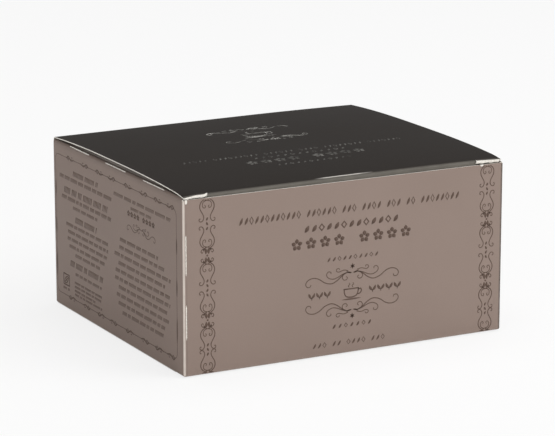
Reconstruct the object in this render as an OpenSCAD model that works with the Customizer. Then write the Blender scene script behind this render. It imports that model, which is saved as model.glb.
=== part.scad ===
// A shut tuck-top carton for two rows of wrapped tea bags, folded from one
// printed blank. The bags bow its lid upwards, and the lid stands a little
// higher on the right. Millimetres; +Z is up, the front wall faces -Y, and the
// origin is the centre of the underside. A shut carton can't be seen into, so
// the whole of it is one closed solid.

/* [Carton] */
// Width of the front wall
box_w = 162; // [130:1:200]
// Depth from the front wall to the back wall
box_d = 140; // [110:1:180]
// Height of the side walls' top folds above the underside
wall_h = 80.5; // [55:0.5:110]
// Thickness of the board
board = 0.5; // [0.4:0.05:0.7]
// Outer radius of the upright and bottom creases
crease_r = 0.9; // [0.8:0.1:1.5]

/* [Lid] */
// Outer radius of the soft folds round the top
fold_r = 1.3; // [1:0.1:2]
// Rise of the lid's arch above its front and back ends
crown = 1.8; // [1:0.1:5]
// How much higher the lid stands along its right edge than along its left
lid_lift = 1; // [0.3:0.1:1.5]
// Power that flattens the middle of the arch, where 2 is a parabola
arch_power = 2.8; // [2:0.1:4]
// Gap between the side walls' folds and the underside of the lid's ends
lid_gap = 0.1; // [0.05:0.05:0.5]
// How far the shadow gap under each side edge of the lid reaches inwards
edge_gap_depth = 4; // [2:0.5:8]
// Setback of the lid's raw side edges from the side walls
lid_setback = 0.4; // [0.2:0.1:1]

/* [Tuck flap] */
// How far the front wall's raw edge stands below the side walls' folds
front_drop = 1; // [0.8:0.1:2]
// Slit cut into the tuck fold at its left end
slit_left = 11.5; // [8:0.5:20]
// Slit cut into the tuck fold at its right end
slit_right = 14; // [8:0.5:20]
// Play between the tuck flap and the front wall
tuck_gap = 0.25; // [0.15:0.05:0.5]
// Depth of the open slot between the tuck flap and the front wall
tuck_slot_depth = 3; // [1:0.5:6]
// Setback of the dust flaps' edges behind the front wall
dust_setback = 2.5; // [2:0.5:5]

/* [Cut scores] */
// Cut scores along the top fold of each side wall
side_scores = 3; // [1:1:5]
// Length of a cut score in a side fold
side_score_len = 22; // [10:1:25]
// Distance from one side score to the next
side_score_pitch = 40; // [30:1:60]
// Cut scores beside the front wall's left crease
front_scores = 2; // [1:1:3]
// Length of a cut score beside the left crease
front_score_len = 16; // [8:1:20]
// Distance from one front score to the next
front_score_pitch = 30; // [22:1:36]
// Width of a cut score
score_w = 0.4; // [0.3:0.05:0.6]
// Depth of a cut score
score_depth = 0.3; // [0.2:0.05:0.35]

/* [Bottom flap] */
// Thickness of the glued flap under the carton
flap_t = 0.5; // [0.4:0.05:0.7]
// Setback of the glued flap's raw edges from the side walls
flap_side_setback = 1; // [0.5:0.1:3]
// Setback of the glued flap's raw edge from the front wall
flap_front_setback = 4; // [2:0.5:20]

/* [Hidden] */
$fn = 48;

arch_steps = 28;                      // flat strips along the lid's arch
past = 1;                             // how far a cutter runs past what it cuts

front_top = wall_h - front_drop;      // height of the front wall's raw edge
lid_end_z = wall_h + lid_gap + board; // the lid's top at its ends, at the left
lid_tilt = atan(lid_lift / box_w);    // turn of the lid about the depth axis
top_z = lid_end_z + crown + lid_lift + past; // a height above everything
low_z = front_top - tuck_slot_depth;  // a height below everything on the lid
tuck_y = -box_d / 2 + board + tuck_gap; // outer face of the tuck flap
slit_x0 = -box_w / 2 + slit_left;     // where the left slit ends
slit_x1 = box_w / 2 - slit_right;     // where the right slit begins
gap_x = box_w / 2 - edge_gap_depth;   // where the side gaps begin, from the centre
lid_half = box_w / 2 - lid_setback;   // the lid's raw side edges, from the centre
score_drop = 0.5;                     // side scores below the top of their fold
score_inset = crease_r + 0.4;         // front scores in from the left wall

printed = [0.52, 0.46, 0.43];         // taupe print on the walls
black = [0.10, 0.09, 0.085];          // black print on the lid

// ------------------------------------------------------------ 2D outlines

// What a round of radius r takes off the corner at the origin
module corner_waste(r) {
    difference() {
        translate([-past, -past])
            square([r + past, r + past]);
        translate([r, r])
            circle(r);
    }
}

// A rectangle centred on x and standing on y = 0, with rounded corners
module rounded(w, h, r) {
    difference() {
        translate([-w / 2, 0])
            square([w, h]);
        for (side = [-1, 1]) {
            translate([side * w / 2, 0])
                scale([-side, 1])
                    corner_waste(r);
            translate([side * w / 2, h])
                scale([-side, -1])
                    corner_waste(r);
        }
    }
}

// Height of the lid's top at a depth y, before it is tilted
function arch_z(y) = lid_end_z + crown * (1 - pow(min(1, abs(2 * y / box_d)), arch_power));

// The lid's arch from one depth to another, as points on its top or below it
function arch_line(y0, y1, drop) = [
    for (i = [0 : arch_steps])
        let (y = y0 + (y1 - y0) * i / arch_steps)
        [y, arch_z(y) - drop]
];

// What lies under the lid's board between two depths
module under_arch(y0, y1) {
    polygon(concat([[y1, low_z], [y0, low_z]], arch_line(y0, y1, board)));
}

// ------------------------------------------------------------- placements

// Stands a YZ outline up and runs it across the carton from x0 to x1
module run_across(x0, x1) {
    translate([x0, 0, 0])
        rotate([90, 0, 90])
            linear_extrude(x1 - x0)
                children();
}

// Runs an XZ outline through the carton's depth
module run_deep() {
    translate([0, box_d, 0])
        rotate([90, 0, 0])
            linear_extrude(2 * box_d)
                children();
}

// Turns what belongs to the lid about the top of the left wall
module tilted() {
    translate([-box_w / 2, 0, lid_end_z])
        rotate([0, -lid_tilt, 0])
            translate([box_w / 2, 0, -lid_end_z])
                children();
}

// ------------------------------------------------------------------ board

// One block as wide and deep as the carton and taller than its lid
module block() {
    color(printed)
        intersection() {
            linear_extrude(top_z)
                translate([0, -box_d / 2])
                    rounded(box_w, box_d, crease_r);
            translate([0, 0, flap_t])
                run_deep()
                    rounded(box_w, top_z, crease_r);
            translate([0, 0, flap_t])
                run_across(-box_w, box_w)
                    rounded(box_d, top_z, crease_r);
        }
}

// The glued outer flap under the carton, which folds from the back wall
module bottom_flap() {
    color(printed)
        difference() {
            translate([-box_w / 2 + flap_side_setback, -box_d / 2 + flap_front_setback, 0])
                cube([box_w - 2 * flap_side_setback, box_d - flap_front_setback,
                      flap_t + crease_r]);
            run_across(-box_w / 2, box_w / 2)
                translate([box_d / 2, 0])
                    scale([-1, 1])
                        corner_waste(crease_r);
        }
}

// -------------------------------------------------------------------- lid

// Clears what is above the lid's arch and round its back fold
module above_lid_cut() {
    fold_y = box_d / 2 - fold_r;
    fold_z = lid_end_z - fold_r;
    color(black)
        tilted()
            run_across(-box_w, box_w)
                difference() {
                    polygon(concat(
                        [[box_d, top_z], [-box_d, top_z], [-box_d, lid_end_z]],
                        arch_line(-box_d / 2, fold_y, 0),
                        [[fold_y, fold_z], [box_d, fold_z]]
                    ));
                    translate([fold_y, fold_z])
                        circle(fold_r);
                }
}

// Folds the lid's front down into the tuck flap, between the slits
module tuck_fold_cut() {
    fold_y = tuck_y + fold_r;
    fold_z = arch_z(fold_y) - fold_r;
    color(black)
        tilted()
            run_across(slit_x0, slit_x1)
                difference() {
                    translate([-box_d / 2 - past, front_top + front_drop / 2])
                        square([fold_y + box_d / 2 + past, top_z]);
                    translate([fold_y, fold_z])
                        circle(fold_r);
                    translate([tuck_y, low_z])
                        square([2 * fold_r, fold_z - low_z]);
                }
}

// Hollows the lid's front corners beyond the slits, leaving its bare board
module slit_cuts() {
    for (x = [[-box_w, slit_x0], [slit_x1, box_w]])
        intersection() {
            tilted()
                run_across(x[0], x[1])
                    under_arch(-box_d / 2 - past, -box_d / 2 + dust_setback);
            translate([-box_w, -box_d, front_top])
                cube([2 * box_w, box_d, top_z]);
        }
}

// Opens the gaps between the lid's raw side edges and the walls' folds
module side_gap_cuts() {
    for (x = [[-box_w, -gap_x], [gap_x, box_w]])
        intersection() {
            tilted()
                run_across(x[0], x[1])
                    under_arch(-box_d / 2 - past, box_d / 2 - board);
            translate([-box_w, -box_d, wall_h])
                cube([2 * box_w, 2 * box_d, top_z]);
        }
    for (side = [-1, 1])
        translate([side * (lid_half + box_w / 2), 0, wall_h + top_z / 2])
            cube([box_w, 2 * box_d, top_z], center = true);
}

// ------------------------------------------------------------------ walls

// Rounds the side walls' tops into soft folds
module side_fold_cuts() {
    for (side = [-1, 1])
        translate([side * box_w / 2, 0, wall_h])
            run_deep()
                scale([-side, -1])
                    difference() {
                        translate([-past, 0])
                            square([fold_r + past, fold_r]);
                        translate([fold_r, fold_r])
                            circle(fold_r);
                    }
}

// Lowers the front wall to its raw edge, and opens the slot behind it
module front_edge_cuts() {
    translate([-box_w / 2 - past, -box_d / 2 - past, front_top])
        cube([box_w + 2 * past, past + board + tuck_gap, front_drop]);
    translate([slit_x0, -box_d / 2 + board, front_top - tuck_slot_depth])
        cube([slit_x1 - slit_x0, tuck_gap, tuck_slot_depth + front_drop / 2]);
}

// Knife cuts in the side walls' top folds, where the raw board shows
module side_score_cuts() {
    for (side = [-1, 1], i = [0 : side_scores - 1])
        translate([side * box_w / 2,
                   (i - (side_scores - 1) / 2) * side_score_pitch,
                   wall_h - score_drop])
            cube([2 * (score_depth + score_w), side_score_len, score_w], center = true);
}

// Knife cuts in the front wall, beside its left crease
module front_score_cuts() {
    for (i = [0 : front_scores - 1])
        translate([-box_w / 2 + score_inset,
                   -box_d / 2,
                   wall_h / 2 + (i - (front_scores - 1) / 2) * front_score_pitch])
            cube([score_w, 2 * score_depth, front_score_len], center = true);
}

// ----------------------------------------------------------------- carton

module carton() {
    difference() {
        union() {
            block();
            bottom_flap();
        }
        above_lid_cut();
        tuck_fold_cut();
        slit_cuts();
        side_gap_cuts();
        side_fold_cuts();
        front_edge_cuts();
        side_score_cuts();
        front_score_cuts();
    }
}

carton();
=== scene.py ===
import math
import random

import bmesh
import bpy
from mathutils import Matrix, Vector


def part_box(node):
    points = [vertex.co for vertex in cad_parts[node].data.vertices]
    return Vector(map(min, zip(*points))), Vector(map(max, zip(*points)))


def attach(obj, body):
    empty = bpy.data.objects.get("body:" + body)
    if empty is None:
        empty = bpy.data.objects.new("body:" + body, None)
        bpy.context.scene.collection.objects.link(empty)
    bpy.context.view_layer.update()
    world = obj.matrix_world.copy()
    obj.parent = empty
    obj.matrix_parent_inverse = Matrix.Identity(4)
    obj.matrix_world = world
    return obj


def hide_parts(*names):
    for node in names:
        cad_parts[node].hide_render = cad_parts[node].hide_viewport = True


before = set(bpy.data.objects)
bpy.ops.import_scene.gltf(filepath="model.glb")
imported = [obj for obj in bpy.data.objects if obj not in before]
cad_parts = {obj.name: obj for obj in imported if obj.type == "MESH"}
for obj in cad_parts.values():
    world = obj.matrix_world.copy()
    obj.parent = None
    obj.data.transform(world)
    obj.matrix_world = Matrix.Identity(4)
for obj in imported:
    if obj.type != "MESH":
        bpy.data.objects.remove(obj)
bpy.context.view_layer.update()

mm = 0.001
tiny = 0.02 * mm                     # how far off a plane a point still counts as on it
low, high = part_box("carton")
leftX, rightX, frontY, backY = low.x, high.x, low.y, high.y
width, depth = rightX - leftX, backY - frontY

board = dict(
    thickness=0.5 * mm,
    crease=0.9 * mm,                 # outer radius of the upright and bottom creases
    creaseSteps=5,
    fold=1.3 * mm,                   # outer radius of the soft folds round the top
    foldSteps=6,
)


# the camera

view = dict(
    place=(-575.3 * mm, -1091.4 * mm, 349.4 * mm),
    turn=-27.87,                     # degrees, about the upright axis
    down=13.75,
    lens=176.8,
    sensor=36,
)


def makeCamera():
    bpy.ops.object.camera_add(location=view["place"])
    camera = bpy.context.object
    camera.rotation_euler = (math.radians(90 - view["down"]), 0, math.radians(view["turn"]))
    camera.data.lens = view["lens"]
    camera.data.sensor_width = view["sensor"]
    camera.data.clip_end = 50
    bpy.context.scene.camera = camera


makeCamera()
print("camera ready")


# small helpers for modelling

def startPiece(name, add, **where):
    bpy.ops.object.select_all(action="DESELECT")
    add(**where)
    piece = bpy.context.object
    piece.name = piece.data.name = name
    bpy.ops.object.mode_set(mode="EDIT")
    return piece


def pick(piece, kind, wanted):       # selects what passes a test on its points
    bpy.ops.mesh.select_mode(type=kind)
    bpy.ops.mesh.select_all(action="DESELECT")
    mesh = bmesh.from_edit_mesh(piece.data)
    for part in {"VERT": mesh.verts, "EDGE": mesh.edges, "FACE": mesh.faces}[kind]:
        if wanted([part.co] if kind == "VERT" else [v.co for v in part.verts]):
            part.select_set(True)
    mesh.select_flush_mode()
    bmesh.update_edit_mesh(piece.data)


def near(a, b):
    return abs(a - b) < tiny


def endEdit():
    bpy.ops.mesh.select_all(action="SELECT")
    bpy.ops.mesh.remove_doubles(threshold=tiny / 10)
    bpy.ops.mesh.normals_make_consistent(inside=False)
    bpy.ops.object.mode_set(mode="OBJECT")


def only(*pieces):                   # selects these objects and nothing else
    bpy.ops.object.select_all(action="DESELECT")
    for piece in pieces:
        piece.select_set(True)
    bpy.context.view_layer.objects.active = pieces[0]


def applied(piece, kind, **settings):
    only(piece)
    modifier = piece.modifiers.new(kind.title(), kind)
    for key, value in settings.items():
        setattr(modifier, key, value)
    bpy.ops.object.modifier_apply(modifier=modifier.name)


def smoothed(piece, angle=35):
    only(piece)
    bpy.ops.object.shade_smooth_by_angle(angle=math.radians(angle))


def placed(piece, turn):             # turns and moves the mesh, and leaves its object at the origin
    only(piece)
    piece.matrix_world = turn
    bpy.ops.object.transform_apply(location=True, rotation=True, scale=True)


def joined(name, pieces):
    only(*pieces)
    bpy.ops.object.join()
    whole = bpy.context.object
    whole.name = whole.data.name = name
    return whole


def finished(piece, slot, *materials):
    for material in materials:
        if material.name not in piece.data.materials:
            piece.data.materials.append(material)
    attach(piece, "root")


# shader maths and finishes

class Wire:                          # a node's output that takes part in sums like a number
    def __init__(self, tree, socket):
        self.tree, self.socket = tree, socket

    def feed(self, target, value):
        if isinstance(value, Wire):
            self.tree.links.new(value.socket, target)
        else:
            target.default_value = value

    def node(self, kind, settings=None, sockets=None, output=0):
        made = self.tree.nodes.new("ShaderNode" + kind)
        for key, value in (settings or {}).items():
            setattr(made, key, value)
        for key, value in (sockets or {}).items():
            self.feed(made.inputs[key], value)
        return Wire(self.tree, made.outputs[output])

    def maths(self, operation, a, b=0.0, clamp=False):
        return self.node("Math", {"operation": operation, "use_clamp": clamp}, {0: a, 1: b})

    def __add__(self, other):
        return self.maths("ADD", self, other)

    def __sub__(self, other):
        return self.maths("SUBTRACT", self, other)

    def __rsub__(self, other):
        return self.maths("SUBTRACT", other, self)

    def __mul__(self, other):
        return self.maths("MULTIPLY", self, other)

    def __truediv__(self, other):
        return self.maths("DIVIDE", self, other)

    __radd__ = __add__
    __rmul__ = __mul__

    def size(self):
        return self.maths("ABSOLUTE", self)

    def most(self, other):
        return self.maths("MAXIMUM", self, other)

    def least(self, other):
        return self.maths("MINIMUM", self, other)

    def clamped(self):
        return self.maths("ADD", self, 0.0, clamp=True)

    def noise(self, scale, detail=2.0, rough=0.5):   # called on a place, per metre
        return self.node("TexNoise", {}, {"Vector": self, "Scale": scale,
                                          "Detail": detail, "Roughness": rough})

    def axes(self):
        return [self.node("SeparateXYZ", {}, {"Vector": self}, axis) for axis in "XYZ"]

    def mixed(self, a, b):           # a colour from a to b as this goes from 0 to 1
        return self.node("Mix", {"data_type": "RGBA"}, {0: self, 6: a, 7: b}, 2)


def startFinish(name, **fixed):
    material = bpy.data.materials.new(name)
    material.use_nodes = True
    tree = material.node_tree
    shader = tree.nodes["Principled BSDF"]
    for key, value in fixed.items():
        shader.inputs[key.replace("_", " ")].default_value = value
    place = Wire(tree, tree.nodes.new("ShaderNodeTexCoord").outputs["Object"])
    return material, shader, place


def finishWith(place, shader, colour, roughness, height=None):
    place.feed(shader.inputs["Base Color"], colour)
    place.feed(shader.inputs["Roughness"], roughness)
    if height is not None:
        bump = place.node("Bump", {}, {"Strength": 1.0, "Distance": 1.0, "Height": height})
        place.feed(shader.inputs["Normal"], bump)


def rgb(*values):                    # a display colour from 0 to 255, as the shader wants it
    linear = [v / 255 / 12.92 if v < 10.3 else ((v / 255 + 0.055) / 1.055) ** 2.4
              for v in values]
    return (*linear, 1)


def bandOf(distance, reach):         # 1 where a distance is 0, fading to 0 at the reach
    return (1 - distance.size() / reach).clamped()


def creaseBands(place, reach):       # the upright creases, and the bottom ones
    x, y, z = place.axes()
    fromSide, fromEnd = width / 2 - x.size(), depth / 2 - y.size()
    fromBottom = z - walls["bottom"]
    return (bandOf(fromSide.most(fromEnd), reach),
            bandOf(fromBottom.most(fromSide.least(fromEnd)), reach))


grain = dict(                        # shared by both printed boards; noise scales are per metre
    fibre=1400,
    fibreRise=0.008 * mm,
    scuff=420,
    scuffDeep=0.02 * mm,
)


walls = dict(
    top=80.5 * mm,                   # the side walls' top folds
    frontTop=79.5 * mm,              # the front wall's raw edge
    bottom=0.5 * mm,                 # underside of the walls, over the glued flap
    dustFlap=28 * mm,                # how far the side walls fold inwards
    dustDip=1.2 * mm,                # how far those folded flaps sink
    flapRows=tuple(y * mm for y in (-52, -36, -18, 0, 18, 36, 52)),    # where flaps are raised
    flapRise=2.4 * mm,               # how far inwards they rise
    flapPlay=0.25 * mm,              # what they leave free under the lid
    flapCut=1.6 * mm,                # how far their sides are cut back there
    dustCut=7 * mm,                  # how far their inner corners are cut back
    creaseReach=1 * mm,              # how near an end a point is part of its crease
    cornerReach=2.5 * mm,            # the same for the flaps' inner corners
    topReach=2 * mm,                 # the same for the tops of the folds
    topCut=1.2 * mm,                 # how far the folds' tops are drawn in at their ends
    squashReach=2.2 * mm,            # how much of the front ends is pressed flat
    foldEnd=3.5 * mm,                # where the folds begin to round off at their ends
    cornerSquash=0.45,               # height left of the folds at their front ends
)
shoulder = walls["top"] - board["fold"]

taupe = dict(
    light=rgb(147, 130, 121),
    dark=rgb(135, 119, 110),
    # worn is also used as painted light on the raised flaps under the lid
    worn=rgb(216, 205, 196),
    shade=rgb(74, 66, 60),           # painted shade: in the scored grooves, under the lid and on the creases turned from the light
    clouds=22,
    creaseReach=1.2 * mm,
    wornHighlitAt=0.58 * mm,              # the light line down the front left crease: partly wear, partly a painted highlight
    wornHighlitReach=0.34 * mm,
    grooveAt=1.5 * mm,               # painted shade in the scored groove beside it
    grooveReach=0.5 * mm,
    grooveDeep=0.3 * mm,
    grooveDark=0.45,
    turnedShadeReach=1.5 * mm,           # painted shade on the two creases that turn away from the light
    turnedShadeDark=1.8,
    lidShadowAt=81.2 * mm,              # painted shadow: a darker band on the walls under the lid's side edges
    lidShadowReach=4.2 * mm,
    lidShadowFront=0.4 * mm,            # it stops short of the front wall
    lidShadowDark=0.34,
    paleRise=0.25 * mm,              # over this rise the raised flaps are painted pale, as painted light in the gap under the lid
    bow=0.25 * mm,                   # how uneven the walls look
)


def makeTaupe():
    material, shader, place = startFinish("taupePrint", Metallic=0.2, Specular_IOR_Level=0.2)
    x, y, z = place.axes()
    cloud = place.noise(taupe["clouds"], 3)
    fibre = place.noise(grain["fibre"], 3, 0.6)
    tone = (cloud * 0.7 + fibre * 0.5 - 0.1).clamped()
    plain = tone.mixed(taupe["dark"], taupe["light"])
    scuff = (place.noise(grain["scuff"], 4, 0.7) * 3.2 - 1.1).clamped()
    upright, bottom = creaseBands(place, taupe["creaseReach"])
    cornerX, cornerY = x - leftX, y - frontY
    # wear, and a painted highlight along the front left crease's rounding
    wornHighlit = bandOf(cornerX + cornerY - taupe["wornHighlitAt"], taupe["wornHighlitReach"])
    wornHighlit = wornHighlit * (0.75 + 0.7 * place.noise(260, 3))
    wearAndPaintedLight = (upright * scuff * 0.35).most(bottom * scuff * 0.25).most(wornHighlit)
    # painted shade in the scored groove beside the front left crease
    grooveShade = bandOf(cornerX - taupe["grooveAt"], taupe["grooveReach"])
    grooveShade = grooveShade * bandOf(cornerY, taupe["grooveDeep"])
    grooveShade = grooveShade * (place.noise(70, 2) * 3 - 1.1).clamped()
    # painted shade on the front right and back left creases, which turn away from the light
    reach = taupe["turnedShadeReach"]
    turnedShade = bandOf(rightX - x, reach) * bandOf(cornerY, reach)
    turnedShade = turnedShade.most(bandOf(cornerX, reach) * bandOf(backY - y, reach))
    # painted shadow of the lid on the side walls' tops
    lidShadow = bandOf(z - taupe["lidShadowAt"], taupe["lidShadowReach"])
    lidShadow = lidShadow * (1 - bandOf(cornerY, taupe["lidShadowFront"]))
    shade = (grooveShade * taupe["grooveDark"]).most(lidShadow * taupe["lidShadowDark"])
    shade = shade.most((turnedShade * taupe["turnedShadeDark"]).clamped())
    # painted light: where the flaps rise under the lid they take the pale worn colour, standing in
    # for light in that gap
    paintedLightUnderLid = ((z - walls["top"]) / taupe["paleRise"]).clamped()
    wearAndPaintedLight = wearAndPaintedLight.most(paintedLightUnderLid)
    colour = wearAndPaintedLight.clamped().mixed(shade.mixed(plain, taupe["shade"]), taupe["worn"])
    roughness = 0.44 + cloud * 0.1 + wearAndPaintedLight * 0.2
    height = place.noise(14, 1) * taupe["bow"] + fibre * grain["fibreRise"]
    height = height - upright * scuff * grain["scuffDeep"]
    finishWith(place, shader, colour, roughness, height)
    return material


blackBoard = dict(
    ink=rgb(27, 21, 17),
    dull=rgb(37, 31, 26),
    fold=rgb(112, 108, 101),         # the front fold's painted sheen, also where it is rubbed
    worn=rgb(228, 223, 215),
    patch=(-1 * mm, 15 * mm),        # middle and reach, along the front, of the most rubbed part
    foldAt=0.8 * mm,                 # the front fold's painted sheen and rubbing, in from the front wall
    foldReach=1.0 * mm,
    backReach=1.4 * mm,
    bareAt=2.0 * mm,                 # the bare board behind that fold
    bareReach=0.7 * mm,
    bow=0.3 * mm,
)


def makeBlack():
    material, shader, place = startFinish("blackPrint", Specular_IOR_Level=0.1)
    cloud = place.noise(16, 3)
    fibre = place.noise(grain["fibre"], 3, 0.6)
    x, y, z = place.axes()
    foldFront = bandOf(y - (frontY + blackBoard["foldAt"]), blackBoard["foldReach"])
    foldBack = bandOf(y - backY, blackBoard["backReach"])
    scuff = (place.noise(grain["scuff"], 4, 0.7) * 3.0 - 1.2).clamped()
    patch = bandOf(x - blackBoard["patch"][0], blackBoard["patch"][1])
    # painted sheen along the rounded front fold, with rubbing there; scuffs along the back fold
    rubbedAndSheen = foldFront * (0.55 + 0.5 * place.noise(150, 3)) + foldBack * scuff * 0.25
    bare = bandOf(y - (frontY + blackBoard["bareAt"]), blackBoard["bareReach"])
    bare = bare * (patch * (place.noise(130, 2) * 5 - 0.6)).clamped()
    specks = (place.noise(2600, 1) * 9 - 6.7).clamped() * 0.25
    plain = (cloud * 0.8 + fibre * 0.3).clamped().mixed(blackBoard["ink"], blackBoard["dull"])
    # the plain ink under the front fold's painted sheen and rubbing
    worn = rubbedAndSheen.clamped().mixed(plain, blackBoard["fold"])
    colour = (bare * 0.9).most(specks).clamped().mixed(worn, blackBoard["worn"])
    roughness = 0.38 + cloud * 0.08 + rubbedAndSheen * 0.1
    height = place.noise(11, 1) * blackBoard["bow"] + fibre * grain["fibreRise"]
    finishWith(place, shader, colour, roughness, height)
    return material


rawBoard = dict(light=rgb(244, 241, 235), dark=rgb(214, 208, 198))


def makeRaw():
    material, shader, place = startFinish("rawBoard", Specular_IOR_Level=0.2)
    fibre = place.noise(1800, 4, 0.7)
    colour = ((fibre - 0.3) * 2.2).clamped().mixed(rawBoard["dark"], rawBoard["light"])
    finishWith(place, shader, colour, 0.85 + fibre * 0.1, fibre * (0.06 * mm))
    return material


darkInk = dict(full=rgb(83, 66, 57), thin=rgb(101, 83, 73))


def makeInk():
    material, shader, place = startFinish("darkInk", Specular_IOR_Level=0.2)
    patch = place.noise(700, 3, 0.6)
    colour = ((patch - 0.25) * 1.6).clamped().mixed(darkInk["full"], darkInk["thin"])
    finishWith(place, shader, colour, 0.5 + patch * 0.1, patch * (0.006 * mm))
    return material


silver = dict(
    full=rgb(222, 220, 214),
    thin=rgb(64, 61, 57),
    rowsEnd=-12 * mm,                # in front of this the ink is drawn darker, with fewer painted glints
    rowsGlint=0.16,                  # how much painted glint it keeps there
    moreGlint=0.72,                  # and how much more painted glint behind
)


def makeSilver():
    material, shader, place = startFinish("silverInk", Metallic=0.5, Specular_IOR_Level=0.4)
    patch = place.noise(150, 4, 0.65)
    x, y, z = place.axes()
    # painted glints: bright patches on the silver ink, fewer and weaker on the rows in front
    glints = ((y - silver["rowsEnd"]) / (2 * mm)).clamped() * silver["moreGlint"]
    glints = (glints + silver["rowsGlint"]) * ((patch - 0.4) * 4.5).clamped()
    colour = glints.mixed(silver["thin"], silver["full"])
    finishWith(place, shader, colour, 0.36 + patch * 0.2, patch * (0.01 * mm))
    return material


taupePrint, blackPrint, rawFace = makeTaupe(), makeBlack(), makeRaw()
inkFace, silverFace = makeInk(), makeSilver()
print("finishes ready")


# the folded board

def makeWalls():
    piece = startPiece("cartonWalls", bpy.ops.mesh.primitive_cube_add, size=1)
    tall = shoulder - walls["bottom"]
    bpy.ops.transform.resize(value=(width, depth, tall))
    bpy.ops.transform.translate(value=(0, 0, walls["bottom"] + tall / 2))
    pick(piece, "FACE", lambda ps: all(near(p.z, shoulder) for p in ps))
    bpy.ops.mesh.delete(type="ONLY_FACE")
    pick(piece, "EDGE", lambda ps: not near(ps[0].z, ps[1].z)
         or all(near(p.z, walls["bottom"]) for p in ps))
    bpy.ops.mesh.bevel(offset=board["crease"], segments=board["creaseSteps"], affect="EDGES")
    for y in (frontY + walls["foldEnd"], *walls["flapRows"], backY - walls["foldEnd"]):
        bpy.ops.mesh.select_all(action="SELECT")
        bpy.ops.mesh.bisect(plane_co=(0, y, 0), plane_no=(0, 1, 0))
    for side in (-1, 1):             # the side walls' tops fold over into the dust flaps
        wallX = side * width / 2
        pick(piece, "EDGE", lambda ps: all(near(p.z, shoulder) and near(p.x, wallX) for p in ps))
        bpy.ops.mesh.spin(steps=board["foldSteps"], angle=side * math.pi / 2,
                          center=(wallX - side * board["fold"], 0, shoulder), axis=(0, 1, 0))
        pick(piece, "EDGE", lambda ps: all(near(p.z, walls["top"]) and p.x * side > 0 for p in ps))
        bpy.ops.mesh.extrude_edges_move(TRANSFORM_OT_translate={
            "value": (-side * walls["flapRise"], 0, 0)})
        riseX = width / 2 - board["fold"] - walls["flapRise"]
        for y in walls["flapRows"]:  # the flap bulges up to just under the lid
            pick(piece, "VERT", lambda ps: near(ps[0].x * side, riseX) and near(ps[0].y, y))
            gap = lidHeight(side * riseX, y) - board["thickness"] - walls["flapPlay"] - walls["top"]
            bpy.ops.transform.translate(value=(0, 0, max(0, gap)))
        for end, cut in ((frontY, 1), (backY, -1)):
            pick(piece, "VERT", lambda ps: near(ps[0].x * side, riseX)
                 and abs(ps[0].y - end) < walls["creaseReach"])
            bpy.ops.transform.translate(value=(0, cut * walls["flapCut"], 0))
        pick(piece, "EDGE", lambda ps: all(near(p.x * side, riseX) for p in ps))
        bpy.ops.mesh.extrude_edges_move(TRANSFORM_OT_translate={
            "value": (-side * (walls["dustFlap"] - walls["flapRise"]), 0, -walls["dustDip"])})
        flapX = width / 2 - board["fold"] - walls["dustFlap"]
        for end, cut in ((frontY, 1), (backY, -1)):   # the flaps' corners are cut back
            pick(piece, "VERT", lambda ps: near(ps[0].x * side, flapX)
                 and abs(ps[0].y - end) < walls["cornerReach"])
            bpy.ops.transform.translate(value=(0, cut * walls["dustCut"], 0))
            pick(piece, "VERT", lambda ps: near(ps[0].z, walls["top"])
                 and abs(ps[0].y - end) < walls["topReach"])
            bpy.ops.transform.translate(value=(0, cut * walls["topCut"], 0))
        pick(piece, "VERT", lambda ps: ps[0].z > shoulder + tiny and ps[0].x * side > flapX + tiny
             and abs(ps[0].y - frontY) < walls["squashReach"])
        bpy.ops.transform.resize(value=(1, 1, walls["cornerSquash"]),
                                 center_override=(0, 0, shoulder))
    pick(piece, "EDGE", lambda ps: all(near(p.z, shoulder) and near(p.y, frontY) for p in ps))
    bpy.ops.mesh.extrude_edges_move(TRANSFORM_OT_translate={
        "value": (0, 0, walls["frontTop"] - shoulder)})
    endEdit()
    piece.data.materials.append(taupePrint)
    piece.data.materials.append(rawFace)
    applied(piece, "SOLIDIFY", thickness=board["thickness"], offset=-1, material_offset_rim=1)
    smoothed(piece)
    finished(piece, "printed_board")
    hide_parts("carton")


lid = dict(
    endTop=81.1 * mm,                # height of the arch's ends, at the left
    crown=1.8 * mm,                  # rise of the arch between them
    lift=1.0 * mm,                   # how much higher the right edge stands
    archPower=2.8,                   # flattens the middle of the arch
    setback=0.4 * mm,                # the raw side edges, in from the walls
    tuckFace=frontY + 0.75 * mm,     # outer face of the tuck flap
    tuckDepth=6 * mm,
    slitLeft=11.5 * mm,
    slitRight=14 * mm,
    droop=0.6 * mm,                  # along the right edge
    droopFrom=30 * mm,               # where that begins, from the middle
    cornerDepth=9 * mm,              # how far back the front corners' dips reach
    cornerWidth=6 * mm,              # how far in the left one reaches
    leftDip=0.7 * mm,                # more, at the front corners
    rightDip=0.5 * mm,
    narrower=0.9 * mm,               # the right raw edge, further in than the left one
    narrowFrom=2 * mm,               # what is drawn in, from the right wall
    narrowRun=1.6 * mm,
    columns=40,
    rows=48,
)


def archHeight(y):
    return lid["endTop"] + lid["crown"] * (1 - min(1, abs(2 * y / depth)) ** lid["archPower"])


def lidDroop(x, y):                  # how far the lid hangs below its even, tilted arch
    start, deep, wide = lid["droopFrom"], lid["cornerDepth"], lid["cornerWidth"]
    right = max(0, (x - start) / (rightX - start)) ** 1.5
    corner = max(0, (frontY + deep - y) / deep) ** 2
    leftCorner = corner * max(0, (leftX + wide - x) / wide)
    rightCorner = corner * max(0, (x - rightX + lid["slitRight"]) / lid["slitRight"])
    return lid["droop"] * right + lid["leftDip"] * leftCorner + lid["rightDip"] * rightCorner


def lidHeight(x, y):
    return archHeight(y) + lid["lift"] * (x - leftX) / width - lidDroop(x, y)


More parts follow.
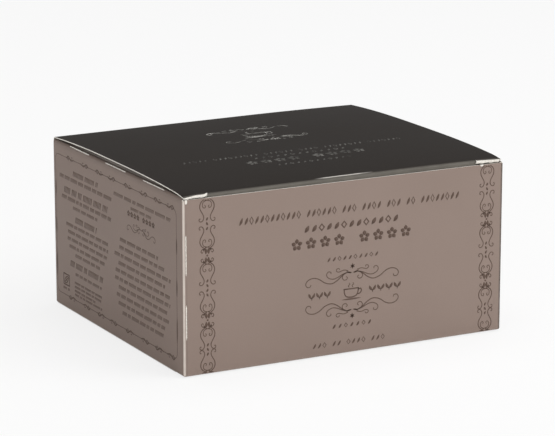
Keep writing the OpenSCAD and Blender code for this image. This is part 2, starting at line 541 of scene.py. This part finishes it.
def makeLid():
    piece = startPiece("cartonLid", bpy.ops.mesh.primitive_grid_add,
                       x_subdivisions=lid["columns"], y_subdivisions=lid["rows"], size=1)
    frontFold, backFold = lid["tuckFace"] + board["fold"], backY - board["fold"]
    panel = backFold - frontFold
    slits = (leftX + lid["slitLeft"], rightX - lid["slitRight"])
    bpy.ops.transform.resize(value=(width - 2 * lid["setback"], panel, 1))
    bpy.ops.transform.translate(value=(0, frontFold + panel / 2, 0))
    for x in slits:
        bpy.ops.mesh.select_all(action="SELECT")
        bpy.ops.mesh.bisect(plane_co=(x, 0, 0), plane_no=(1, 0, 0))
    for row in range(lid["rows"] + 1):
        y = frontFold + panel * row / lid["rows"]
        pick(piece, "VERT", lambda ps: near(ps[0].y, y))
        bpy.ops.transform.translate(value=(0, 0, archHeight(y)))
    foldTop, backTop = archHeight(frontFold), archHeight(backFold)
    between = lambda p: slits[0] - tiny < p.x < slits[1] + tiny
    pick(piece, "EDGE", lambda ps: all(near(p.y, frontFold) for p in ps)
         and not all(between(p) for p in ps))
    bpy.ops.mesh.extrude_edges_move(TRANSFORM_OT_translate={
        "value": (0, frontY - frontFold, lid["endTop"] - foldTop)})
    pick(piece, "EDGE", lambda ps: all(near(p.y, frontFold) and between(p) for p in ps)
         and not near(ps[0].x, ps[1].x))
    bpy.ops.mesh.spin(steps=board["foldSteps"], angle=-math.pi / 2,
                      center=(0, frontFold, foldTop - board["fold"]), axis=(1, 0, 0))
    pick(piece, "EDGE", lambda ps: all(near(p.y, lid["tuckFace"])
                                       and near(p.z, foldTop - board["fold"]) for p in ps))
    bpy.ops.mesh.extrude_edges_move(TRANSFORM_OT_translate={"value": (0, 0, -lid["tuckDepth"])})
    pick(piece, "EDGE", lambda ps: all(near(p.y, backFold) for p in ps))
    bpy.ops.mesh.spin(steps=board["foldSteps"], angle=math.pi / 2,
                      center=(0, backFold, backTop - board["fold"]), axis=(1, 0, 0))
    pick(piece, "EDGE", lambda ps: all(near(p.y, backY) for p in ps)
         and near(ps[0].z, ps[1].z))
    bpy.ops.mesh.extrude_edges_move(TRANSFORM_OT_translate={
        "value": (0, 0, shoulder - lid["lift"] - (backTop - board["fold"]))})
    endEdit()
    if piece.data.polygons[0].normal.z < 0:
        piece.data.flip_normals()
    pivot = Vector((leftX, 0, lid["endTop"]))
    tilt = Matrix.Rotation(-math.atan(lid["lift"] / width), 4, "Y")
    placed(piece, Matrix.Translation(pivot) @ tilt @ Matrix.Translation(-pivot))
    bpy.ops.object.mode_set(mode="EDIT")
    pick(piece, "VERT", lambda ps: near(ps[0].y, backY) and ps[0].z < shoulder + lid["lift"] / 4)
    bpy.ops.transform.resize(value=(1, 1, 0), center_override=(0, 0, shoulder))
    bpy.ops.object.mode_set(mode="OBJECT")
    for point in piece.data.vertices:
        if point.co.z > shoulder + lid["lift"]:
            point.co.z -= lidDroop(point.co.x, point.co.y)
        if point.co.x > rightX - lid["narrowFrom"]:
            past = point.co.x - rightX + lid["narrowFrom"]
            point.co.x -= lid["narrower"] * past / lid["narrowRun"]
    piece.data.materials.append(blackPrint)
    piece.data.materials.append(rawFace)
    applied(piece, "SOLIDIFY", thickness=board["thickness"], offset=-1, material_offset_rim=1)
    smoothed(piece)
    finished(piece, "black_board")


bottomFlap = dict(sideGap=1 * mm, frontGap=4 * mm, corner=7 * mm, edge=0.4 * mm)


def makeBottomFlap():
    piece = startPiece("bottomFlap", bpy.ops.mesh.primitive_cube_add, size=1)
    flapDepth = depth - bottomFlap["frontGap"]
    bpy.ops.transform.resize(value=(width - 2 * bottomFlap["sideGap"], flapDepth, walls["bottom"]))
    bpy.ops.transform.translate(value=(0, backY - flapDepth / 2, walls["bottom"] / 2))
    pick(piece, "EDGE", lambda ps: not near(ps[0].z, ps[1].z) and ps[0].y < 0)
    bpy.ops.mesh.bevel(offset=bottomFlap["corner"], segments=1, affect="EDGES")
    pick(piece, "EDGE", lambda ps: all(near(p.y, backY) and near(p.z, 0) for p in ps))
    bpy.ops.mesh.bevel(offset=bottomFlap["edge"], segments=4, affect="EDGES")
    endEdit()
    piece.data.materials.append(taupePrint)
    piece.data.materials.append(rawFace)
    for face in piece.data.polygons:  # its cut edges show raw board
        if abs(face.normal.z) < 0.1 and face.center.y < backY - 1 * mm:
            face.material_index = 1
    smoothed(piece)
    finished(piece, "printed_board")


makeWalls()
makeLid()
makeBottomFlap()
print("board folded")


# torn board in the cut scores and slits

tears = dict(
    thick=0.05 * mm,
    jitter=0.05 * mm,                # how ragged the slivers and nicks are
    taper=0.6 * mm,                  # how long a sliver's pointed ends are
    fray=0.16 * mm,                  # how ragged a strip's lower edge is
    curl=0.9 * mm,                   # how far that edge turns in
    stripThick=0.3 * mm,
    sideLength=22 * mm,
    sidePitch=40 * mm,
    sideWidth=0.5 * mm,
    frontWidth=0.42 * mm,
    frontInset=1.3 * mm,
    frontSpans=((46 * mm, 63.8 * mm), (17.2 * mm, 32.8 * mm)),
    strips=(                         # left, right, height at either end, lift, seed
        (leftX + 1 * mm, leftX + 11.6 * mm, 1.1 * mm, 1.6 * mm, 0.5 * mm, 3),
        (rightX - 14.4 * mm, rightX - 2.4 * mm, 1.7 * mm, 1.4 * mm, 0, 4),
    ),
    nicks=(                          # middle, height above the front wall's edge, width, depth
        (leftX + 1.5 * mm, 0, 1.0 * mm, 1.9 * mm),
        (rightX - 11.5 * mm, 0.1 * mm, 1.6 * mm, 0.8 * mm),
    ),
)


def tornSliver(length, across, seed, turn):
    piece = startPiece("sliver", bpy.ops.mesh.primitive_grid_add,
                       x_subdivisions=30, y_subdivisions=3, size=1)
    bpy.ops.transform.resize(value=(length, across, 1))
    bpy.ops.transform.vertex_random(offset=tears["jitter"], uniform=1, seed=seed)
    pick(piece, "VERT", lambda ps: abs(ps[0].x) > length / 2 - tears["taper"])
    bpy.ops.transform.resize(value=(1, 0.4, 1), center_override=(0, 0, 0))
    bpy.ops.mesh.select_all(action="SELECT")
    bpy.ops.object.mode_set(mode="OBJECT")
    applied(piece, "SOLIDIFY", thickness=tears["thick"], offset=1)
    placed(piece, turn)
    return piece


# torn board along the lid's front raw edge, whose last part lifts
def tornStrip(x0, x1, tallStart, tallEnd, lift, seed):
    columns = 2 * round((x1 - x0) / mm)
    piece = startPiece("strip", bpy.ops.mesh.primitive_grid_add,
                       x_subdivisions=columns, y_subdivisions=6, size=1)
    bpy.ops.object.mode_set(mode="OBJECT")
    draw = random.Random(seed)
    edge = [draw.uniform(-1, 1) * tears["fray"] for _ in range(columns + 1)]
    for point in piece.data.vertices:
        along, up = point.co.x + 0.5, point.co.y + 0.5
        x = x0 + (x1 - x0) * along
        tall = tallStart + (tallEnd - tallStart) * along + edge[round(along * columns)]
        top = lidHeight(x, frontY) + lift * max(0, along - 0.85) / 0.15
        curl = tears["curl"] * max(0, 1 - 2 * up) ** 2     # the ragged lip turns in under the edge
        point.co = (x, frontY - tears["thick"] * (1 + up) + curl, top - tall * (1 - up))
    applied(piece, "SOLIDIFY", thickness=tears["stripThick"], offset=-1)
    return piece


def nick(x, z, wide, tall):          # a small torn triangle in the front wall's top edge
    piece = startPiece("nick", bpy.ops.mesh.primitive_grid_add,
                       x_subdivisions=4, y_subdivisions=3, size=1)
    bpy.ops.transform.resize(value=(wide, tall, 1))
    pick(piece, "VERT", lambda ps: ps[0].y < -0.4 * tall)
    bpy.ops.transform.resize(value=(0.1, 1, 1), center_override=(0, 0, 0))
    bpy.ops.mesh.select_all(action="SELECT")
    bpy.ops.transform.vertex_random(offset=tears["jitter"], uniform=1, seed=5)
    bpy.ops.object.mode_set(mode="OBJECT")
    applied(piece, "SOLIDIFY", thickness=tears["thick"], offset=1)
    placed(piece, Matrix.Translation((x, frontY, z - tall / 2))
           @ Matrix.Rotation(math.pi / 2, 4, "X"))
    return piece


def makeTears():
    slivers = []
    foldSpot = board["fold"] * (1 - math.sqrt(0.5))
    for side in (-1, 1):
        for step in (-1, 0, 1):
            spot = Vector((side * (width / 2 - foldSpot), step * tears["sidePitch"],
                           shoulder + board["fold"] * math.sqrt(0.5)))
            turn = Matrix.Translation(spot) @ Matrix.Rotation(side * math.pi / 4, 4, "Y") \
                @ Matrix.Rotation(math.pi / 2, 4, "Z")
            seed = 11 + 3 * step + side
            slivers.append(tornSliver(tears["sideLength"], tears["sideWidth"], seed, turn))
    for z0, z1 in tears["frontSpans"]:
        spot = Vector((leftX + tears["frontInset"], frontY, (z0 + z1) / 2))
        turn = Matrix.Translation(spot) @ Matrix.Rotation(math.pi / 2, 4, "X") \
            @ Matrix.Rotation(math.pi / 2, 4, "Z")
        slivers.append(tornSliver(z1 - z0, tears["frontWidth"], int(z0 / mm), turn))
    slivers += [tornStrip(*strip) for strip in tears["strips"]]
    slivers += [nick(x, walls["frontTop"] + above, wide, tall)
                for x, above, wide, tall in tears["nicks"]]
    piece = joined("tornBoard", slivers)
    smoothed(piece)
    finished(piece, "raw_board", rawFace)


makeTears()
print("torn board ready")


# printing: strokes of (points, widths) in mm, right and down from a wall's top left corner

def smooth(points, steps=6):         # a curve through the points
    ends = [points[0]] + list(points) + [points[-1]]
    line = []
    for a, b, c, d in zip(ends, ends[1:], ends[2:], ends[3:]):
        for i in range(steps):
            t = i / steps
            line.append(tuple(
                0.5 * (2 * b[k] + (c[k] - a[k]) * t
                       + (2 * a[k] - 5 * b[k] + 4 * c[k] - d[k]) * t ** 2
                       + (3 * b[k] - a[k] - 3 * c[k] + d[k]) * t ** 3) for k in (0, 1)))
    return line + [tuple(points[-1])]


def stroke(points, startWidth, endWidth, steps=6):   # a pen stroke whose width changes evenly
    line = smooth(points, steps)
    last = len(line) - 1
    return line, [startWidth + (endWidth - startWidth) * i / last for i in range(last + 1)]


def leaf(start, end, wide, bend=0.0, steps=10):      # a pointed filled leaf between two points
    (x0, y0), (x1, y1) = start, end
    long = math.hypot(x1 - x0, y1 - y0)
    side = (-(y1 - y0) / long, (x1 - x0) / long)
    line, widths = [], []
    for i in range(steps + 1):
        t = i / steps
        arch = bend * math.sin(math.pi * t)
        line.append((x0 + (x1 - x0) * t + side[0] * arch, y0 + (y1 - y0) * t + side[1] * arch))
        widths.append(0.06 + wide * math.sin(math.pi * t) ** 0.8)
    return line, widths


def star(x, y, r):
    return [leaf((x - r * math.cos(a), y - r * math.sin(a)),
                 (x + r * math.cos(a), y + r * math.sin(a)), 0.5 * r)
            for a in (math.pi / 2, math.pi / 6, -math.pi / 6)]


def moved(strokes, x, y, flipX=1, flipY=1, scale=1.0):
    return [([(x + flipX * scale * px, y + flipY * scale * py) for px, py in line],
             [scale * w for w in widths]) for line, widths in strokes]


def evenLine(points, wide):
    return points, [wide] * len(points)


def leafOutline(start, end, wide, line):     # a leaf drawn as its edge, midrib and two ribs
    (x0, y0), (x1, y1) = start, end
    long = math.hypot(x1 - x0, y1 - y0)
    side = (-(y1 - y0) / long, (x1 - x0) / long)

    def at(t, out):
        reach = out * wide / 2 * math.sin(math.pi * t) ** 0.8
        return x0 + (x1 - x0) * t + side[0] * reach, y0 + (y1 - y0) * t + side[1] * reach

    strokes = [evenLine([at(i / 12, out) for i in range(13)], line) for out in (-1, 1)]
    strokes.append(evenLine([at(0, 0), at(0.85, 0)], 0.8 * line))
    return strokes + [evenLine([at(0.4, 0), at(0.58, 0.8 * out)], 0.6 * line) for out in (-1, 1)]


def spacing(x0, x1, groups, gap):    # where each ornament of a grouped row starts, and the pitch
    pitch = (x1 - x0) / (sum(groups) + gap * (len(groups) - 1))
    starts, x = [], x0
    for group in groups:
        starts += [x + pitch * i for i in range(group)]
        x += pitch * (group + gap)
    return starts, pitch


def garland(x0, x1, top, bottom, weight, groups):    # a row of leaning leaves and lozenges
    starts, pitch = spacing(x0, x1, groups, 0.9)
    tall = bottom - top
    cell = min(0.74 * pitch, 0.95 * tall)
    row = []
    for n, start in enumerate(starts):
        x, middle = start + (pitch - cell) / 2, (top + bottom) / 2
        if n % 3 == 2:
            row.append(evenLine([(x + 0.5 * cell, top), (x + 0.95 * cell, middle),
                                 (x + 0.5 * cell, bottom), (x + 0.05 * cell, middle),
                                 (x + 0.5 * cell, top)], weight))
        else:
            row.append(leaf((x + 0.12 * cell, bottom), (x + 0.88 * cell, top),
                            2.3 * weight, 0.08 * cell))
    return row


def smallPrint(x0, x1, top, bottom, weight, seed):   # fine leaning ticks, all alike, in groups
    draw = random.Random(seed)
    pitch, lean = 2.3 * weight, 0.3 * (bottom - top)
    row, x, left = [], x0, draw.randint(4, 9)
    while x < x1:
        if left == 0:
            left = draw.randint(3, 9)
            x += 1.1 * pitch
            continue
        row.append(evenLine([(x + lean, top), (x, bottom)], weight))
        x += pitch
        left -= 1
    return row


proud = 0.04 * mm                    # how far a print stands out of its board


def printed(name, strokes, material):        # makes strokes a thin raised print, flat on z = 0
    drawing = bpy.data.curves.new(name, "CURVE")
    drawing.dimensions, drawing.twist_mode = "3D", "Z_UP"
    for line, widths in strokes:
        path = drawing.splines.new("POLY")
        if math.dist(line[0], line[-1]) < 0.001:     # one that ends where it began is closed
            line, path.use_cyclic_u = line[:-1], True
        path.points.add(len(line) - 1)
        for point, (x, y), wide in zip(path.points, line, widths):
            point.co, point.radius = (x * mm, -y * mm, 0, 1), wide
    nib = bpy.data.curves.new("nib", "CURVE")
    outline = nib.splines.new("POLY")
    outline.points.add(3)
    outline.use_cyclic_u = True
    for point, (x, y) in zip(outline.points, ((-1, -1), (1, -1), (1, 1), (-1, 1))):
        point.co = (x * mm / 2, y * mm / 10, 0, 1)
    nibObject = bpy.data.objects.new("nib", nib)
    piece = bpy.data.objects.new(name, drawing)
    for part in (nibObject, piece):
        bpy.context.scene.collection.objects.link(part)
    drawing.bevel_mode, drawing.bevel_object, drawing.use_fill_caps = "OBJECT", nibObject, True
    only(piece)
    bpy.ops.object.convert(target="MESH")
    piece = bpy.context.object
    piece.name = piece.data.name = name
    bpy.data.objects.remove(nibObject)
    bpy.ops.object.mode_set(mode="EDIT")
    for up in (1, -1):               # one even thickness, whatever the stroke's width
        pick(piece, "VERT", lambda ps: ps[0].z * up > 0)
        bpy.ops.transform.resize(value=(1, 1, 0), center_override=(0, 0, up * proud))
    bpy.ops.mesh.select_all(action="SELECT")
    bpy.ops.mesh.remove_doubles(threshold=tiny / 10)  # joins each stroke's ends to its sides
    bpy.ops.mesh.normals_make_consistent(inside=False)
    bpy.ops.object.mode_set(mode="OBJECT")
    piece.data.materials.append(material)
    return piece


def ontoWall(name, strokes, side, top):  # stands a print on the front, left, back or right wall
    quarter = {"front": 0, "right": 1, "back": 2, "left": 3}[side]
    across, out = (width, depth / 2) if quarter % 2 == 0 else (depth, width / 2)
    piece = printed(name, strokes, inkFace)
    placed(piece, Matrix.Rotation(quarter * math.pi / 2, 4, "Z")
           @ Matrix.Translation((-across / 2, -out, top)) @ Matrix.Rotation(math.pi / 2, 4, "X"))
    finished(piece, "dark_ink")


border = dict(
    places=(11.5, 153.5),            # centre lines of the two borders
    knots=(-2.75, 25.6, 54.6, 81.1), # the top knot is cut by the wall's edge
    thin=0.34,                       # widths of its lines
    bold=1.15,
    inside=(0.5, 78.6),              # kept clear of the wall's edges
)


# a quarter of one repeat: across from the centre line, and along from a knot
def borderQuarter():
    thin = border["thin"]
    return [
        stroke([(1.5, 3.4), (2.7, 4.3), (3.45, 5.8), (3.3, 7.5), (2.5, 9.0), (1.75, 10.4),
                (1.6, 11.6), (2.2, 12.8), (3.2, 13.1), (3.8, 12.6), (3.7, 11.8), (3.1, 11.8)],
               1.3 * thin, thin, 5),
        stroke([(0.7, 3.9), (1.8, 4.5), (2.2, 5.6), (1.9, 6.8), (1.1, 7.1), (0.7, 6.5),
                (1.1, 5.9)], thin, thin, 5),
        leaf((0.7, 0.6), (1.1, 3.5), border["bold"], 0.25),
        stroke([(1.4, 3.0), (2.5, 2.8), (3.0, 1.9), (2.5, 1.3), (2.0, 1.7)], 1.2 * thin, thin, 5),
        leaf((0.0, 3.9), (1.1, 3.6), 0.6),
        leaf((1.2, 3.4), (1.9, 2.0), 0.6, 0.1),
    ]


def makeBorders():
    strokes = []
    top, bottom = border["inside"]
    for x in border["places"]:
        for repeat, (start, end) in enumerate(zip(border["knots"], border["knots"][1:])):
            for flipX in (-1, 1):
                strokes += moved(borderQuarter(), x, start, flipX, 1)
                strokes += moved(borderQuarter(), x, end, flipX, -1)
            strokes.append(leaf((x - 0.5, end), (x + 0.5, end), 0.8))
            count = 3 + repeat % 2
            for i in range(count):   # small leaves between the bells
                y, lean = (start + end) / 2 + 2.1 * (i - (count - 1) / 2), 0.35 * (-1) ** i
                strokes.append(leaf((x - lean, y + 0.75), (x + lean, y - 0.75), 0.8))
    kept = []
    for line, widths in strokes:     # what falls past the wall's edges isn't printed
        inside = [(p, w) for p, w in zip(line, widths) if top < p[1] < bottom]
        if len(inside) > 1:
            kept.append(([p for p, w in inside], [w for p, w in inside]))
    return kept


def flourishHalf():                  # right half of a flourish, from its middle
    return [
        stroke([(0.6, 0.1), (2.4, -0.3), (5.2, 0.9), (7.8, 2.9), (10.7, 4.0), (14.0, 3.2),
                (17.0, 1.2), (19.8, 0.4), (22.4, 1.0), (23.7, 2.7), (22.9, 4.2), (21.4, 4.1),
                (21.1, 3.2)], 0.5, 0.36),
        stroke([(3.4, -0.1), (5.4, 0.5), (7.6, 1.5), (10.0, 2.0), (12.4, 1.1), (13.2, -0.4),
                (12.3, -1.6), (11.0, -1.3), (11.0, -0.5)], 0.4, 0.34),
        stroke([(2.2, -1.0), (4.4, -1.5), (7.0, -0.9), (8.2, -1.5), (7.9, -2.4), (6.9, -2.5),
                (6.6, -1.8)], 0.38, 0.32),
        stroke([(4.6, 0.6), (5.2, 1.8), (4.5, 3.0), (3.2, 3.1), (2.6, 2.2), (3.3, 1.6)], 0.4, 0.34),
        leaf((0.5, 0.2), (3.2, -0.9), 0.5, 0.2),
    ]


def flourish(x, y, up=1, scale=1.0):
    return [s for flipX in (-1, 1) for s in moved(flourishHalf(), x, y, flipX, up, scale)]


def teaCup(line):                    # a plain cup and saucer in outline, about 8 mm high
    return [
        stroke([(-3.6, -1.5), (-3.4, 0.4), (-2.4, 1.9), (0, 2.4), (2.4, 1.9), (3.4, 0.4),
                (3.6, -1.5)], line, line),
        evenLine([(-3.9, -1.5), (3.9, -1.5)], line),
        leaf((-4.9, 3.2), (4.9, 3.2), 1.3 * line),
        stroke([(3.5, -0.8), (4.8, -1.1), (5.2, 0.0), (4.3, 1.1), (3.1, 1.2)], line, line),
        stroke([(-1.0, -2.2), (-1.5, -2.9), (-0.7, -3.6), (-1.1, -4.3)], 0.7 * line, 0.5 * line),
        stroke([(0.9, -2.2), (0.4, -2.9), (1.2, -3.6), (0.8, -4.3)], 0.7 * line, 0.5 * line),
    ]


def seedling(tall, wide):            # two leaves on a short stem
    return [
        leaf((0, -0.25 * tall), (-0.48 * wide, -tall), 0.34 * wide, -0.08 * wide),
        leaf((0, -0.25 * tall), (0.48 * wide, -tall), 0.34 * wide, 0.08 * wide),
        evenLine([(0, -0.35 * tall), (0, 0)], 0.12 * tall),
    ]


def blossom(tall, wide):             # five round petals
    r, petals = 0.52 * tall, []
    for i in range(5):
        a = math.radians(-90 + 72 * i)
        petals.append(leaf((0.2 * r * math.cos(a), 0.2 * r * math.sin(a) - r),
                           (r * math.cos(a), r * math.sin(a) - r), 0.66 * r))
    return petals


def rowOf(ornament, x0, x1, top, bottom, groups):
    starts, pitch = spacing(x0, x1, groups, 0.8)
    one = ornament(bottom - top, 0.8 * pitch)
    return [s for x in starts for s in moved(one, x + pitch / 2, bottom)]


def rowsOf(garlands):
    return [s for row in garlands for s in garland(*row)]


frontLayout = dict(
    middle=83.6,
    garlands=[                       # left, right, top, bottom, weight, how many in each group
        (26.6, 138.9, 10.9, 14.2, 0.48, (12, 6, 3, 4, 3, 2, 8)),
        (58.5, 107.4, 18.1, 21.0, 0.75, (13,)),
        (70.2, 97.2, 33.9, 35.8, 0.36, (10,)),
        (72.8, 94.0, 65.0, 66.9, 0.4, (7,)),
        (63.1, 100.7, 72.7, 75.0, 0.36, (3, 2, 4, 3)),
    ],
    blossoms=(51.9, 114.4, 23.7, 29.0, (4, 4)),
    seedlings=[(61.0, 72.8, 49.2, 52.4, (3,)), (91.8, 108.9, 49.2, 52.4, (4,))],
    flourishes=((42.0, 1), (59.2, -1)),
    stars=(39.1, 62.0),
    starSize=1.3,
    cup=(83.0, 51.0),
    line=0.55,
)


def makeFrontPrint(name, side):
    middle = frontLayout["middle"]
    strokes = makeBorders() + rowsOf(frontLayout["garlands"])
    strokes += rowOf(blossom, *frontLayout["blossoms"])
    for row in frontLayout["seedlings"]:
        strokes += rowOf(seedling, *row)
    for y, up in frontLayout["flourishes"]:
        strokes += flourish(middle, y, up)
    for y in frontLayout["stars"]:
        strokes += star(middle, y, frontLayout["starSize"])
    strokes += moved(teaCup(frontLayout["line"]), *frontLayout["cup"])
    ontoWall(name, strokes, side, walls["frontTop"])


sideRows = [                         # left, right, top, bottom, weight
    (23.0, 50.7, 11.5, 13.8, 0.58), (7.4, 66.0, 15.2, 17.0, 0.42), (12.5, 60.4, 20.5, 23.5, 0.62),
    (9.6, 65.0, 24.8, 26.6, 0.42), (22.3, 49.7, 28.4, 29.9, 0.4), (24.9, 48.0, 33.1, 35.9, 0.55),
    (14.2, 61.0, 37.4, 39.0, 0.4), (16.0, 61.0, 40.8, 42.4, 0.4), (15.5, 61.0, 44.2, 45.8, 0.4),
    (17.5, 57.0, 47.6, 49.2, 0.4), (24.3, 51.7, 50.9, 52.5, 0.4), (18.3, 55.3, 55.2, 58.0, 0.55),
    (24.0, 53.8, 60.2, 61.6, 0.4), (23.0, 53.5, 64.6, 65.7, 0.36), (23.0, 53.5, 66.6, 67.7, 0.36),
    (23.0, 46.0, 68.6, 69.7, 0.36), (23.0, 53.5, 70.4, 71.4, 0.36),
    (68.7, 127.8, 11.6, 13.2, 0.48), (86.7, 108.5, 15.0, 16.4, 0.4),
]
sideParagraph = dict(
    ends=[(74.7, 114.3), (74.0, 120.3), (68.7, 127.3), (72.8, 121.2), (69.6, 125.8),
          (69.0, 126.3), (72.8, 123.2), (70.5, 125.4), (72.4, 120.7), (76.6, 119.4)],
    first=31.6,
    pitch=3.78,
    tall=1.7,
    weight=0.42,
)
sideFrame = dict(
    x0=2.7,
    x1=133.4,
    top=6.4,
    bottom=73.6,
    corner=3.0,
    line=0.22,
    bold=0.95,
    waves=(20, 36, 53, 66, 84, 100, 115, 127),
    waveSize=0.9,
    bars=((19, 27), (37, 46), (54, 67)),
)
sideOrnament = dict(
    blossoms=(82.6, 111.6, 17.2, 19.9, (4, 4)),
    flourish=(97.2, 23.6, 1, 0.62),
    markFrame=(9.8, 16.6, 63.4, 68.6, 0.4, 0.6),
    markLeaf=((10.8, 67.6), (15.6, 64.4), 2.6, 0.5),
    markRow=(9.6, 16.8, 69.8, 71.0, 0.45),
)


def roundedFrame(x0, x1, top, bottom, r, wide):
    line = []
    for cx, cy, start in ((x1 - r, top + r, -90), (x1 - r, bottom - r, 0),
                          (x0 + r, bottom - r, 90), (x0 + r, top + r, 180)):
        turns = [math.radians(start + a) for a in range(0, 91, 15)]
        line += [(cx + r * math.cos(a), cy + r * math.sin(a)) for a in turns]
    line.append(line[0])
    return [evenLine(line, wide)]


def wave():                          # a small scroll that rides on a frame's line
    return [
        stroke([(-4.6, 0.2), (-3.0, -1.0), (-1.2, -0.5), (0.6, 0.6), (2.6, 0.4), (4.6, -0.3)],
               0.75, 0.4),
        stroke([(-3.4, 0.3), (-2.4, 0.9), (-1.6, 0.3)], 0.4, 0.3),
        stroke([(1.2, -0.9), (2.2, -1.1), (2.6, -0.4)], 0.4, 0.3),
    ]


def makeSidePrint(name, side):
    edge, paragraph = sideFrame, sideParagraph
    strokes = roundedFrame(edge["x0"], edge["x1"], edge["top"], edge["bottom"], edge["corner"],
                           edge["line"])
    for i, x in enumerate(edge["waves"]):
        for y, up in ((edge["top"], 1), (edge["bottom"], -1)):
            strokes += moved(wave(), x, y, (-1) ** i, up, edge["waveSize"])
    for y0, y1 in edge["bars"]:
        strokes += [leaf((x, y0), (x, y1), edge["bold"]) for x in (edge["x0"], edge["x1"])]
    for seed, row in enumerate(sideRows):
        strokes += smallPrint(*row, 20 + seed)
    strokes += rowOf(blossom, *sideOrnament["blossoms"]) + flourish(*sideOrnament["flourish"])
    for row, (x0, x1) in enumerate(paragraph["ends"]):
        top = paragraph["first"] + paragraph["pitch"] * row
        bottom = top + paragraph["tall"]
        strokes += smallPrint(x0, x1, top, bottom, paragraph["weight"], 50 + row)
    strokes += roundedFrame(*sideOrnament["markFrame"]) + leafOutline(*sideOrnament["markLeaf"])
    strokes += smallPrint(*sideOrnament["markRow"], 70)
    ontoWall(name, strokes, side, walls["top"])


makeFrontPrint("frontPrint", "front")
makeFrontPrint("backPrint", "back")
makeSidePrint("leftPrint", "left")
makeSidePrint("rightPrint", "right")
print("walls printed")


# the silver print on the lid, right and down from its back left corner

lidLayout = dict(                    # a cup and saucer between two flourishes, over four rows
    middle=83.0,
    cup=(81.98, 49.2),
    cupScale=1.7,
    line=0.38,
    flourishes=((36.4, 1), (62.0, -1)),
    flourishScale=0.9,
    garlands=[
        (24.3, 137.7, 87.2, 90.4, 0.4, (5, 9, 6, 4, 8, 7)),
        (56.7, 105.3, 93.6, 96.2, 0.55, (13,)),
        (60.8, 99.7, 109.2, 111.4, 0.4, (12,)),
    ],
    blossoms=(49.6, 111.4, 99.2, 105.0, (4, 4)),
)


def makeLidPrint():
    scale = lidLayout["cupScale"]
    strokes = moved(teaCup(lidLayout["line"] / scale), *lidLayout["cup"], scale=scale)
    for y, up in lidLayout["flourishes"]:
        strokes += flourish(lidLayout["middle"], y, up, lidLayout["flourishScale"])
    strokes += rowsOf(lidLayout["garlands"]) + rowOf(blossom, *lidLayout["blossoms"])
    piece = printed("lidPrint", strokes, silverFace)
    placed(piece, Matrix.Translation((leftX, backY, 0)))
    for point in piece.data.vertices:  # follows the lid's bow
        point.co.z += lidHeight(point.co.x, point.co.y)
    finished(piece, "silver_ink")


makeLidPrint()
print("lid printed")


# floor and light

room = dict(
    floorSize=12,
    floorTone=0.96,
    glow=0.8,                        # how much of the floor's shadow the camera doesn't see
    front=0.95,                      # brightness of the room in front of the box
    back=0.23,                       # and behind it
    left=0.36,                       # how much darker it is to the left
    aim=(0, 0, 0.04),                # what the lamps point at
)
lamps = dict(                        # place, size, watts
    keyLight=((1.15, -1.15, 1.1), 1.2, 12.8),
    topLight=((0.1, 0.0, 1.9), 1.8, 16.0),
    fillLight=((-1.1, -0.3, 0.06), 0.9, 2.3),
)


def makeFloor():
    bpy.ops.object.select_all(action="DESELECT")
    bpy.ops.mesh.primitive_plane_add(size=room["floorSize"])
    floor = bpy.context.object
    floor.name = "floor"
    material, shader, place = startFinish("paleFloor", Specular_IOR_Level=0.1)
    tone = room["floorTone"]
    colour = place.noise(3, 2).mixed((tone, tone, tone, 1),
                                     (tone * 0.99, tone * 0.99, tone * 0.985, 1))
    finishWith(place, shader, colour, 0.9)
    tree = material.node_tree
    glow = place.node("Emission", {}, {"Color": (0.97, 0.97, 0.97, 1)})
    seen = place.node("LightPath", {}, {}, "Is Camera Ray") * room["glow"]
    both = place.node("MixShader", {}, {0: seen, 1: Wire(tree, shader.outputs[0]), 2: glow})
    place.feed(tree.nodes["Material Output"].inputs["Surface"], both)
    floor.data.materials.append(material)


def makeLights():
    for name, (spot, size, watts) in lamps.items():
        bpy.ops.object.light_add(type="AREA", location=spot)
        lamp = bpy.context.object
        lamp.name = name
        lamp.data.size, lamp.data.energy = size, watts
        aim = Vector(room["aim"]) - Vector(spot)
        lamp.rotation_euler = aim.to_track_quat("-Z", "Y").to_euler()
    world = bpy.data.worlds.new("softRoom")
    bpy.context.scene.world = world
    world.use_nodes = True
    tree = world.node_tree
    sky = Wire(tree, tree.nodes.new("ShaderNodeTexCoord").outputs["Generated"])
    x, y, z = sky.axes()
    shade = ((0.5 - 0.5 * y).clamped() * (room["front"] - room["back"]) + room["back"]
             - (0.0 - x).clamped() * room["left"]).clamped()
    cameraRay = sky.node("LightPath", {}, {}, "Is Camera Ray")
    sky.feed(tree.nodes["Background"].inputs["Strength"], cameraRay * (1 - shade) + shade)
    tree.nodes["Background"].inputs["Color"].default_value = (1, 1, 1, 1)
    bpy.context.scene.view_settings.view_transform = "Standard"


makeFloor()
makeLights()
print("room ready")
